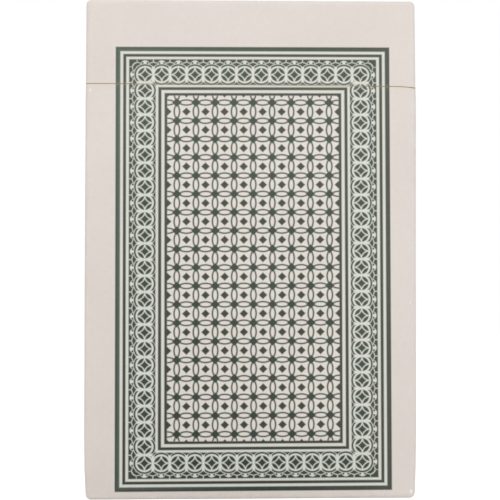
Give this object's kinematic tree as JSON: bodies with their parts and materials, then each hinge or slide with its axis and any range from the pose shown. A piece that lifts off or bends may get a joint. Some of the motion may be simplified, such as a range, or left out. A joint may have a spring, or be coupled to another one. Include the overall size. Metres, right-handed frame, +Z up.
{
  "type": "deck of playing cards",
  "caption": "Deck of bridge-size playing cards in a printed flip-top paperboard carton with a glued inner frame; the lid hinges back at the rear crease.",
  "frame": {"origin": "middle of the carton's base, on the surface it stands on", "axes": "+Z up along the cards' height, -Y out of the printed front, +Y out of the hinge face, X across the width"},
  "size_m": [0.06, 0.0196, 0.0902],
  "materials": {
    "carton_board": "off-white coated board with dark green print",
    "frame_board": "plain uncoated board",
    "card_stock": "smooth coated card, dark green print on the backs"
  },
  "bodies": {
    "carton": {"carton_body": "carton_board", "inner_frame": "frame_board"},
    "lid": {"carton_lid": "carton_board"},
    "deck": {"card_spades_ace": "card_stock", "card_spades_2": "card_stock", "card_spades_3": "card_stock", "card_spades_4": "card_stock", "card_spades_5": "card_stock", "card_spades_6": "card_stock", "card_spades_7": "card_stock", "card_spades_8": "card_stock", "card_spades_9": "card_stock", "card_spades_10": "card_stock", "card_spades_jack": "card_stock", "card_spades_queen": "card_stock", "card_spades_king": "card_stock", "card_hearts_ace": "card_stock", "card_hearts_2": "card_stock", "card_hearts_3": "card_stock", "card_hearts_4": "card_stock", "card_hearts_5": "card_stock", "card_hearts_6": "card_stock", "card_hearts_7": "card_stock", "card_hearts_8": "card_stock", "card_hearts_9": "card_stock", "card_hearts_10": "card_stock", "card_hearts_jack": "card_stock", "card_hearts_queen": "card_stock", "card_hearts_king": "card_stock", "card_diamonds_ace": "card_stock", "card_diamonds_2": "card_stock", "card_diamonds_3": "card_stock", "card_diamonds_4": "card_stock", "card_diamonds_5": "card_stock", "card_diamonds_6": "card_stock", "card_diamonds_7": "card_stock", "card_diamonds_8": "card_stock", "card_diamonds_9": "card_stock", "card_diamonds_10": "card_stock", "card_diamonds_jack": "card_stock", "card_diamonds_queen": "card_stock", "card_diamonds_king": "card_stock", "card_clubs_ace": "card_stock", "card_clubs_2": "card_stock", "card_clubs_3": "card_stock", "card_clubs_4": "card_stock", "card_clubs_5": "card_stock", "card_clubs_6": "card_stock", "card_clubs_7": "card_stock", "card_clubs_8": "card_stock", "card_clubs_9": "card_stock", "card_clubs_10": "card_stock", "card_clubs_jack": "card_stock", "card_clubs_queen": "card_stock", "card_clubs_king": "card_stock", "card_joker_1": "card_stock", "card_joker_2": "card_stock"}
  },
  "joints": [
    {"name": "lid_hinge", "type": "hinge", "parent": "carton", "child": "lid", "pos_m": [0, 0.00975, 0.0832], "axis": [-1, 0, 0], "range_deg": [0, 130]},
    {"name": "deck_slide", "type": "slide", "parent": "carton", "child": "deck", "axis": [0, 0, 1], "range_m": [0, 0.0009]}
  ]
}
